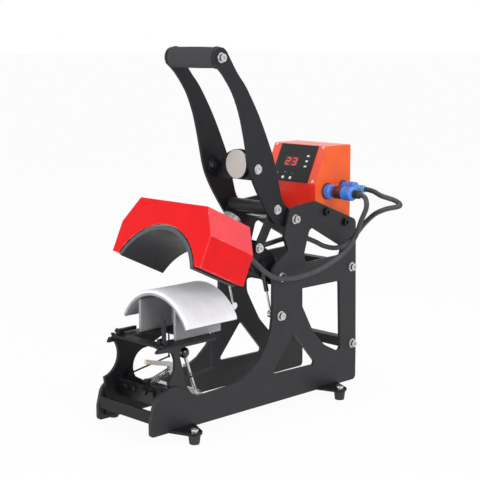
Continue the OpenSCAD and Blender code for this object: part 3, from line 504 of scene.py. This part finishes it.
def spline(points, steps):
    """Catmull-Rom curve through the points, with steps points to each stretch."""
    curve = []
    last = len(points) - 1
    for index in range(last):
        a, b = points[max(index - 1, 0)], points[index]
        c, d = points[index + 1], points[min(index + 2, last)]
        for step in range(steps):
            t = step / steps
            curve.append(0.5 * (2 * b + (c - a) * t + (2 * a - 5 * b + 4 * c - d) * t * t
                                + (3 * b - a - 3 * c + d) * t ** 3))
    curve.append(points[-1])
    return curve


# Plugs, collar and boots on the box's side. Their profiles run outward from the socket.

SOCKET_1 = at(INNER_X, 428, 379)
SOCKET_2 = at(INNER_X, 472, 383)


def ribs(start, count, pitch, high, low):
    """Profile of count ribs from start on, each as wide as three quarters of the pitch."""
    profile = []
    for rib in range(count):
        foot = start + rib * pitch
        profile += [(foot, low), (foot + 0.15 * pitch, high), (foot + 0.6 * pitch, high),
                    (foot + 0.75 * pitch, low)]
    return profile


HEATER_PLUG = [
    (6, 7), (6, 9), (7, 9.5), (18.5, 9.5), (19, 9), (19, 7.3), (40, 7.3), (40.5, 11.5), (41.5, 12.4),
    (44, 12.5, 0.7), (56, 12.5, 0.7), (57, 12.5), (60.5, 12.4), (62, 11.4), (64.4, 9.6), (64.5, 8),
]
HEATER_BOOT = [(63.5, 6), (63.5, 8.4)] + ribs(64.5, 6, 2, 7.4, 6.3) + [(77, 6), (77.8, 5.4), (78, 4.4)]
COLLAR = [
    (19.5, 7.6), (19.5, 10.8), (20.3, 11.5), (23, 11.5), (23.4, 11.1), (24.2, 11.1), (24.6, 11.5, 0.5),
    (35, 11.5, 0.5), (35.4, 11.1), (36.2, 11.1), (36.6, 11.5), (39.2, 11.5), (40, 10.8), (40, 7.6),
]
MAGNET_PLUG = [
    (6, 5), (6, 7.2), (14.9, 7.4), (15, 10.6), (16, 11.5), (18, 11.5, 0.7), (28, 11.5, 0.7), (29, 11.5),
    (30.4, 10.4), (31, 7.4), (31, 6),
]
MAGNET_BOOT = [(30.5, 5), (30.5, 7)] + ribs(33, 7, 2.4, 6.9, 6.1) + [(51, 5.9), (52.6, 5.4), (53, 4.4)]

heater_plug = turned("heater_plug_body", BLUE, "frame", "heater_plug",
                     lathe(SOCKET_1, OUTWARD, HEATER_PLUG, sides=96, flutes=24))
heater_boot = turned("heater_plug_boot", RUBBER, "frame", None, lathe(SOCKET_1, OUTWARD, HEATER_BOOT))
plug_collar = turned("plug_collar_ring", MAROON, "frame", "plug_collar",
                     lathe(SOCKET_1, OUTWARD, COLLAR, sides=96, flutes=32))
magnet_plug = turned("magnet_plug_body", BLUE, "frame", "magnet_plug",
                     lathe(SOCKET_2, OUTWARD, MAGNET_PLUG, sides=96, flutes=22))
magnet_boot = turned("magnet_plug_boot", BOOT_BLUE, "frame", None, lathe(SOCKET_2, OUTWARD, MAGNET_BOOT))


# Cables, drawn along fixed routes.

CABLE_D = 9
HEATER_ROUTE = [
    (134, 428, 379), (144, 428, 379), (156, 426, 374), (159, 425, 358), (148, 424, 333),
    (130, 431, 303), (112, 419, 272), (99, 373, 248), (91, 327, 239), (87, 290, 240),
    (84, 266, 247), (80, 247, 260), (76, 230, 276), (74, 214, 290), (74, 202.1, 295.6),
]
MAGNET_ROUTE = [
    (111, 472, 383), (122, 472, 383), (138, 471, 381), (162, 463, 376), (188, 470, 369), (202, 464, 362),
    (184, 449, 356), (160, 448, 345), (131, 456, 325), (107, 465, 305), (88, 468, 287),
    (72, 451, 274), (54, 436, 276), (44, 416, 287), (37, 386, 298), (28, 350, 296),
    (16, 315, 288), (7, 292, 287), (1, 277, 292.5), (0, 268, 301.9), (0, 261.6, 309.4),
]


def cable(name, route, node):
    """A cable along its route, in place of its CAD node."""
    path = spline([at(*point) for point in route], steps=6)
    piece = add_object(name, mesh_from(name, *tube(path, CABLE_D / 2000)), SHEATH, node=node)
    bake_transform(piece)


cable("heater_cable_sheath", HEATER_ROUTE, "heater_cable")
cable("magnet_cable_sheath", MAGNET_ROUTE, "magnet_cable")


# Sockets: place, radius of the fluted ring, and its flutes

SOCKETS = ((SOCKET_1, 13, 20), (SOCKET_2, 11, 18))


def flange_profile(ring):
    """The flat foot of a socket, 2 mm wider than its ring."""
    rim = ring + 2
    return [(-7.5, 5), (-7.5, 8.5), (0, 8.5), (0, rim - 0.6), (0.6, rim), (1.4, rim), (2, rim - 0.6),
            (2, ring - 2.4)]


def ring_profile(ring):
    """The fluted ring of a socket, bevelled at its outer end."""
    return [(1.5, ring - 2.4), (1.5, ring - 0.4), (3, ring), (4, ring, 0.5), (11, ring, 0.5), (12, ring),
            (13.4, ring - 0.8), (14, ring - 2), (14, ring - 2.4)]


turned("socket_flanges", SWITCH, "frame", "cable_sockets",
       *[lathe(place, OUTWARD, flange_profile(ring), sides=64) for place, ring, _ in SOCKETS])
turned("socket_rings", BLUE, "frame", None,
       *[lathe(place, OUTWARD, ring_profile(ring), sides=96, flutes=flutes)
         for place, ring, flutes in SOCKETS])


# Frame and stand

for name in ("side_plate_left", "side_plate_right"):
    dress(name, POWDER, 0.7)
dress("rear_crossbars", POWDER, 0.6)
# These parts take the darkened powder, which is painted shade.
for name in ("front_cross_plate", "foot_brackets", "stand_top_plate", "stand_tray"):
    dress(name, POWDER_PAINTED_SHADE, 0.5)


# The near stand arm's outline, as y and z in millimetres: its foot, its rear edge, its top, the round
# notch in its front and the front edge below that. Its rear edge is cut back as photographed.

ARM_T = 6
ARM_FOOT = [(47, 24), (49, 22), (115, 22), (118, 25), (118, 46.6), (112.1, 50.1), (109.3, 54.1)]
ARM_REAR = [
    (108, 57), (97, 68), (86, 82), (80, 97), (76, 114), (71.5, 129), (69, 141), (70, 148.5), (77, 151.6),
    (92, 152),
]
ARM_TOP = [(150, 152), (152, 153.5), (152, 156), (24, 156), (20, 152), (20, 150)]
ARM_FRONT = [(45.6, 92), (46.6, 84)]
NOTCH_Y, NOTCH_Z, NOTCH_R = 23, 126, 36
NOTCH_TURNS = [math.radians(angle) for angle in range(38, -53, -6)]


def recut_near_arm(bm):
    """Draws the arm at +X anew, so that the ball knob shows beside it."""
    bmesh.ops.delete(bm, geom=[vert for vert in bm.verts if vert.co.x > 0], context="VERTS")
    rear = [tuple(point) for point in spline([Vector(point) for point in ARM_REAR], steps=4)]
    notch = [(NOTCH_Y + NOTCH_R * math.cos(turn), NOTCH_Z + NOTCH_R * math.sin(turn))
             for turn in NOTCH_TURNS]
    outline = ARM_FOOT + rear + ARM_TOP + notch + ARM_FRONT
    low, high = [[bm.verts.new(at(x, y, z)) for y, z in outline] for x in (INNER_X - ARM_T, INNER_X)]
    bm.faces.new(low)
    bm.faces.new(high)
    for index in range(len(outline)):
        following = (index + 1) % len(outline)
        bm.faces.new((low[index], low[following], high[following], high[index]))
    bmesh.ops.recalc_face_normals(bm, faces=bm.faces)


# Choosers of a face's material. A face looks along an axis where its normal has more than FACING of it,
# and upward at a slope where it has more than SLOPING of it.

FACING = 0.7
SLOPING = 0.3


def near_outside(face):
    """1 on the outer face of the arm at +X, which keeps the plain powder; the arm's other faces take the
    darkened powder as painted shade.
    """
    return int(face.normal.x > FACING and face.calc_center_median().x > 0)


def side_bevel(face):
    """1 on the head cover's bevels, which lean inward above its sides and take a painted sheen."""
    return int(0.8 < abs(face.normal.x) < 0.95 and face.normal.z > SLOPING)


def front_or_rear(face):
    """1 on the faces at the front and rear."""
    return int(abs(face.normal.y) > FACING)


def box_side_front_slope(face):
    """0 on the box's sides, 2 on its top and its slope, which are lightened as painted light from above, 1
    on the rest.
    """
    if abs(face.normal.x) > FACING:
        return 0
    return 2 if face.normal.z > SLOPING else 1


dress("stand_arms", POWDER_PAINTED_SHADE, 0.5, others=[POWDER], chooser=near_outside, recut=recut_near_arm)


# Handle, head, lower form and control box

# The handle arms take the darkened powder, which is painted shade.
for name in ("handle_arm_left", "handle_arm_right"):
    dress(name, POWDER_ARM_PAINTED_SHADE, 0.6)
dress("cross_tube", POWDER, 0.5)
dress("disc_bracket", POWDER_FINE, 0.4)
dress("head_carrier", POWDER_FINE, 0.5)
dress("toggle_links", POWDER_FINE, 0.5)
dress("head_cover", RED, 0.7, segments=3, others=[BEVEL_RED_PAINTED_SHEEN], chooser=side_bevel)
dress("lower_form", GREY_PAINT, 0.5)
dress("heat_platen", NON_STICK, 0.9, segments=3, others=[PLATEN_RIM], chooser=front_or_rear)
dress("control_box", ORANGE, 0.7, segments=3, others=[FRONT_RED, SLOPE_RED_PAINTED_LIGHT], chooser=box_side_front_slope)
dress("control_panel", PANEL, 0.25)


# The panel's plane: its foot, the way up it and the way out of it

PANEL_FOOT = at(0, 396, 393)
PANEL_UP = (at(0, 428, 460) - PANEL_FOOT).normalized()
PANEL_OUT = Vector((0, -PANEL_UP.z, PANEL_UP.y))

# What the buttons' stems lose, and how near its end a point counts as the end, in metres
STEM_CUT = 0.0012
STEM_END = 0.0003


def shorten_stem(bm):
    """Draws a button's inner end back, clear of the board when the button is pressed."""
    end = min(vert.co.dot(PANEL_OUT) for vert in bm.verts)
    for vert in bm.verts:
        if vert.co.dot(PANEL_OUT) < end + STEM_END:
            vert.co += PANEL_OUT * STEM_CUT


# Steel pieces, fasteners and buttons

for name in ("frame_bolts", "handle_bolts", "head_nuts", "link_bolts", "panel_screws"):
    dress(name, ZINC, 0.35)
dress("black_bolts", OXIDE, 0.35)
dress("pivot_spacers", ZINC, 0.4)
dress("strike_disc", TURNED, 0.5)
dress("electromagnet", MAGNET, 0.5)
dress("clamp_lever", LEVER, 0.4)
paint(GROUND, "pivot_shafts", "clamp_shaft", "grip_tube")
paint(OXIDE, "stay_rods")
for name in ("band_finger_left", "band_finger_right"):
    dress(name, POWDER_FINE, 0.5)
for side in ("left", "right"):
    dress("gas_cylinder_" + side, CYLINDER, 0.4)
    paint(CHROME, "gas_rod_" + side)
    dress("button_" + side, BUTTON, 0.4, segments=3, recut=shorten_stem)


# Plastics and inner pieces

dress("mains_inlet", SWITCH, 0.4)
dress("power_rocker", ROCKER, 0.5, segments=3)
dress("clamp_tip", NYLON, 0.8, segments=3)
paint(GLASS, "display_window")
paint(BOARD, "circuit_board")
paint(BLOCK, "power_block")
paint(HEATER, "heating_element")
paint(FELT, "insulation")


# Rubber feet with a rolled rim and two grooves

FOOT_PLACES = [at(x, y, 0) for x in (-104, 104) for y in (64, 424)]
FOOT_PROFILE = [
    (0, 6), (0, 7.6), (0.5, 8.3), (1.2, 8.6), (4.2, 8.95), (4.5, 8.5), (5.3, 8.6), (5.6, 9.2), (9.6, 9.65),
    (9.9, 9.2), (10.7, 9.3), (11, 9.85), (14.6, 10.4), (15.5, 10.4), (16, 9.8), (16, 6),
]
turned("rubber_feet_turned", RUBBER, "frame", "rubber_feet",
       *[lathe(place, UP, FOOT_PROFILE, sides=40) for place in FOOT_PLACES])


# Foam grip: a sleeve that swells towards its middle, with a rolled bead at each end

GRIP = at(0, 168, 620)
GRIP_HALF = 53.8
GRIP_R = 17.2
GRIP_SWELL = 0.5
GRIP_MIDDLE = 45
GRIP_END = [(0, 13), (0, 16), (0.7, 17.5), (2, 18.3), (3.6, 18.45), (5.4, 18.2), (7, 17.4)]

grip_profile = [(inset - GRIP_HALF, radius) for inset, radius in GRIP_END]
for x in range(-GRIP_MIDDLE, GRIP_MIDDLE + 1, 5):
    grip_profile.append((x, GRIP_R + GRIP_SWELL * math.cos(math.radians(90 * x / GRIP_MIDDLE))))
grip_profile += [(GRIP_HALF - inset, radius) for inset, radius in reversed(GRIP_END)]
grip = turned("grip_foam_sleeve", FOAM, "handle", "grip_foam",
              lathe(GRIP, OUTWARD, grip_profile, sides=64))


# Pad on the lower form: a sleeve of cloth over foam. Its arch has its axis at ARCH_Z and reaches PAD_HALF
# degrees to each side. Within PAD_RIM of its rims it rolls in by PAD_ROLL, its edges slump by PAD_SLUMP,
# and between them it has shallow dips.

ARCH_Z = 145.5
PAD_R = 93
PAD_T = 5
PAD_Y = (70, 185)
PAD_HALF = 64
PAD_GAP = 0.1
PAD_RIM = 3
PAD_ROLL = 2.4
PAD_SLUMP = 1.8
PAD_DIP = 0.35
PAD_DIPS = 9
PAD_RIM_SHARES = [0, 0.004, 0.012, 0.025]


def pad_reach(outside, share, turn, from_edge):
    """Distance from the arch's axis, at a share of the pad's length and from_edge steps from its edge. The
    outside rolls in at its rims and edges and dips slightly between them."""
    if not outside:
        return PAD_R - PAD_T + PAD_GAP
    rim = min(share, 1 - share) * (PAD_Y[1] - PAD_Y[0])
    roll = PAD_ROLL * max(0.0, 1 - rim / PAD_RIM) ** 2.2
    slump = PAD_SLUMP * max(0, 1 - from_edge / 2) ** 2
    dip = PAD_DIP * min(0.0, math.sin(PAD_DIPS * turn)) * math.sin(math.pi * share)
    return PAD_R - PAD_GAP - roll - slump + dip


def pad_shape(around=56, along=30):
    """Points and faces of the pad, with around steps over the arch and about along steps down its length."""
    margin = PAD_RIM_SHARES[-1]
    shares = PAD_RIM_SHARES + [margin + (1 - 2 * margin) * step / along for step in range(1, along)]
    shares += [1 - share for share in reversed(PAD_RIM_SHARES)]
    last = len(shares) - 1
    points, faces = [], []
    for share in shares:
        y = PAD_Y[0] + share * (PAD_Y[1] - PAD_Y[0])
        for outside in (False, True):
            for step in range(around + 1):
                turn = math.radians(-PAD_HALF + 2 * PAD_HALF * step / around)
                reach = pad_reach(outside, share, turn, min(step, around - step))
                points.append(at(reach * math.sin(turn), y, ARCH_Z + reach * math.cos(turn)))

    def corner(ring, outside, step):
        """Number of a point, with 0 for the inside and 1 for the outside."""
        return (2 * ring + outside) * (around + 1) + step

    for ring in range(last):
        for outside in (0, 1):
            for step in range(around):
                faces.append((corner(ring, outside, step), corner(ring, outside, step + 1),
                              corner(ring + 1, outside, step + 1), corner(ring + 1, outside, step)))
        for step in (0, around):
            faces.append((corner(ring, 0, step), corner(ring + 1, 0, step),
                          corner(ring + 1, 1, step), corner(ring, 1, step)))
    for ring in (0, last):
        for step in range(around):
            faces.append((corner(ring, 0, step), corner(ring, 1, step),
                          corner(ring, 1, step + 1), corner(ring, 0, step + 1)))
    return points, faces


pad_mesh = soft_edges(mesh_from("form_pad_sleeve", *pad_shape()), angle=50)
pad = add_object("form_pad_sleeve", pad_mesh, PAD, "frame", "form_pad")


# Ball knob with a short neck, at the upper end of the clamp lever

KNOB_CENTRE = at(46, 94, 137)
LEVER_FOOT = at(46, 122, 60)
KNOB_AXIS = (KNOB_CENTRE - LEVER_FOOT).normalized()
KNOB_R = 9.45
KNOB_NECK = [(-9.4, 3.05), (-9.4, 4.2), (-8.9, 4.6)]

ball = []
for angle in range(28, 180, 8):
    turn = math.radians(angle)
    ball.append((-KNOB_R * math.cos(turn), KNOB_R * math.sin(turn)))
turned("clamp_knob_ball", KNOB, "clamp", "clamp_knob",
       lathe(KNOB_CENTRE, KNOB_AXIS, KNOB_NECK + ball + [(KNOB_R, 0.1)], sides=64))


# Clamp spring between the tray's post and the lever's strap

SPRING_A = at(0, 55, 81)
SPRING_B = at(0, 97, 93.4)
SPRING_R = 5.5
SPRING_WIRE = 1.6
SPRING_CURLS = 12
SPRING_STEPS = 20


def spring_path():
    """Middle line of the spring's wire, in metres."""
    axis = (SPRING_B - SPRING_A).normalized()
    side = Vector(OUTWARD)
    other = axis.cross(side)
    length = (SPRING_B - SPRING_A).length
    wire = SPRING_WIRE / 1000
    points = []
    for step in range(SPRING_STEPS * SPRING_CURLS + 1):
        curls = step / SPRING_STEPS
        along = wire / 2 + (length - wire) * curls / SPRING_CURLS
        points.append(SPRING_A + axis * along + spoke(side, other, 2 * math.pi * curls) * SPRING_R / 1000)
    return points


spring_mesh = mesh_from("clamp_spring_wire", *tube(spring_path(), SPRING_WIRE / 2000, sides=10))
spring = add_object("clamp_spring_wire", spring_mesh, SPRING_STEEL, node="clamp_spring")
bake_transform(spring)


# Marks on the control panel, in millimetres: x goes across it, s up it, and a pair of lifts out from its
# plane to a mark's underside and top

DIGIT_LIFT = (1.35, 1.55)
MARK_LIFT = (1.1, 1.3)
ICON_LIFT = (1.1, 1.25)
DIGIT_W = 10.5
DIGIT_H = 14.2
STROKE = 1.8
SEGMENT_GAP = 0.25
LEAN = 0.12
SEGMENTS = {
    "top": ((0, 1), (1, 1)), "middle": ((0, 0.5), (1, 0.5)), "bottom": ((0, 0), (1, 0)),
    "high_left": ((0, 0.5), (0, 1)), "high_right": ((1, 0.5), (1, 1)),
    "low_left": ((0, 0), (0, 0.5)), "low_right": ((1, 0), (1, 0.5)),
}
DIGITS = {
    2: ("top", "high_right", "middle", "low_left", "bottom"),
    3: ("top", "high_right", "middle", "low_right", "bottom"),
}


def on_panel(x, s, lift):
    """A point over the panel, in metres."""
    return PANEL_FOOT + Vector((x / 1000, 0, 0)) + PANEL_UP * s / 1000 + PANEL_OUT * lift / 1000


def plate_shape(outline, lifts):
    """A flat mark with an outline of (x, s) points."""
    count = len(outline)
    points = [on_panel(x, s, lift) for lift in lifts for x, s in outline]
    faces = [tuple(range(count)), tuple(reversed(range(count, 2 * count)))]
    faces += [(i, count + i, count + (i + 1) % count, (i + 1) % count) for i in range(count)]
    return points, faces


def segment(a, b):
    """Outline of a bar from a to b with pointed ends."""
    along = (b - a).normalized()
    a, b = a + along * SEGMENT_GAP, b - along * SEGMENT_GAP
    point = along * STROKE / 2
    side = Vector((-along.y, along.x)) * STROKE / 2
    return [a, a + point - side, b - point - side, b, b - point + side, a + point + side]


def digit(value, x, s):
    """A leaning seven-segment digit with its lower left corner at x, s."""
    half = STROKE / 2
    shapes = []
    for name in DIGITS[value]:
        a, b = [Vector((x + half + across * (DIGIT_W - STROKE), s + half + up * (DIGIT_H - STROKE)))
                for across, up in SEGMENTS[name]]
        shapes.append(plate_shape([(p.x + LEAN * (p.y - s), p.y) for p in segment(a, b)], DIGIT_LIFT))
    return join(*shapes)


def box_outline(x, s, width, height):
    """Corners of a rectangle round x, s."""
    return [(x - width / 2, s - height / 2), (x + width / 2, s - height / 2),
            (x + width / 2, s + height / 2), (x - width / 2, s + height / 2)]


def flat_piece(name, material, *shapes):
    """One piece on the frame out of several flat marks."""
    return add_object(name, soft_edges(mesh_from(name, *join(*shapes))), material, "frame")


# What the display shows, as value, x and s. Bars beside it, and an up, a down and a dash sign below it,
# as outlines.
DIGITS_SHOWN = ((2, -22.5, 32.4), (3, -6.8, 32.4))
BARS = [box_outline(28, s, 6, 3.4) for s in (52, 42, 32)]
SIGNS = [
    [(-36, 15.5), (-32, 15.5), (-34, 19)],
    [(-17, 19), (-13, 19), (-15, 15.5)],
    box_outline(3, 17.2, 3.6, 1),
]
flat_piece("display_digits", LIT, *[digit(*shown) for shown in DIGITS_SHOWN])
flat_piece("panel_marks", MARK, *[plate_shape(outline, MARK_LIFT) for outline in BARS])
flat_piece("panel_icons", ICON, *[plate_shape(outline, ICON_LIFT) for outline in SIGNS])


# Rivets on the box's sides

RIVET_Y, RIVET_Z = 468, 424
RIVET_DOME = [(0, 3.2), (0.5, 3.1), (1.1, 2.5), (1.5, 1.5), (1.7, 0.1)]
turned("box_rivets", ORANGE, "frame", None,
       *[lathe(at(way * INNER_X, RIVET_Y, RIVET_Z), (way, 0, 0), RIVET_DOME, sides=24) for way in (1, -1)])


# Floor, backdrop and light

FLOOR_HALF = 40
FLOOR_GREY = 0.93
FLOOR_ROUGH = 0.8
FLOOR_GLOW = 0.94
WORLD_LIGHT = 0.5
WHITE = (1, 1, 1, 1)

# Lamps: place, what each is aimed at and width in metres, and power in watts
LAMPS = {
    "key": ((2.4, -0.5, 1.2), (0, 0, 0.3), 1.4, 30),
    "top": ((0.3, 0.2, 2.4), (0, 0, 0.2), 1.6, 12),
    "front": ((-0.3, -2.6, 0.9), (0, 0, 0.3), 1.6, 34),
}


def seen_directly(nodes, links):
    """1 for what the camera sees itself, in a mirror or through glass."""
    path = nodes.new("ShaderNodeLightPath")
    socket = path.outputs["Is Camera Ray"]
    for name in ("Is Glossy Ray", "Is Transmission Ray"):
        most = nodes.new("ShaderNodeMath")
        most.operation = "MAXIMUM"
        links.new(socket, most.inputs[0])
        links.new(path.outputs[name], most.inputs[1])
        socket = most.outputs[0]
    return socket


def floor_material():
    """Pale matt floor that mostly glows white where it is seen, and keeps some of its shadows."""
    material = bpy.data.materials.new("floor")
    material.use_nodes = True
    nodes, links = material.node_tree.nodes, material.node_tree.links
    shader = nodes["Principled BSDF"]
    shader.inputs["Base Color"].default_value = (FLOOR_GREY, FLOOR_GREY, FLOOR_GREY, 1)
    shader.inputs["Roughness"].default_value = FLOOR_ROUGH
    glow = nodes.new("ShaderNodeEmission")
    share = nodes.new("ShaderNodeMath")
    share.operation = "MULTIPLY"
    share.inputs[1].default_value = FLOOR_GLOW
    mix = nodes.new("ShaderNodeMixShader")
    links.new(seen_directly(nodes, links), share.inputs[0])
    links.new(share.outputs[0], mix.inputs["Fac"])
    links.new(shader.outputs[0], mix.inputs[1])
    links.new(glow.outputs[0], mix.inputs[2])
    links.new(mix.outputs[0], nodes["Material Output"].inputs["Surface"])
    return material


def world_light(strength):
    """Even white light; the camera and mirrors see plain white."""
    world = bpy.data.worlds.new("studio")
    bpy.context.scene.world = world
    world.use_nodes = True
    nodes, links = world.node_tree.nodes, world.node_tree.links
    even = nodes["Background"]
    even.inputs["Color"].default_value = WHITE
    even.inputs["Strength"].default_value = strength
    white = nodes.new("ShaderNodeBackground")
    white.inputs["Color"].default_value = WHITE
    mix = nodes.new("ShaderNodeMixShader")
    links.new(seen_directly(nodes, links), mix.inputs["Fac"])
    links.new(even.outputs[0], mix.inputs[1])
    links.new(white.outputs[0], mix.inputs[2])
    links.new(mix.outputs[0], nodes["World Output"].inputs["Surface"])


def softbox(name, place, aim, size, power):
    """A round area lamp, aimed at a point."""
    data = bpy.data.lights.new(name, "AREA")
    data.shape = "DISK"
    data.size = size
    data.energy = power
    lamp = bpy.data.objects.new(name, data)
    lamp.location = place
    lamp.rotation_euler = (Vector(aim) - Vector(place)).to_track_quat("-Z", "Y").to_euler()
    bpy.context.collection.objects.link(lamp)


floor_corners = [(x * FLOOR_HALF, y * FLOOR_HALF, 0) for x, y in ((-1, -1), (1, -1), (1, 1), (-1, 1))]
floor = add_object("floor", mesh_from("floor", floor_corners, [(0, 1, 2, 3)]), floor_material())
world_light(WORLD_LIGHT)
for name, lamp in LAMPS.items():
    softbox(name, *lamp)
bpy.context.scene.view_settings.view_transform = "Standard"
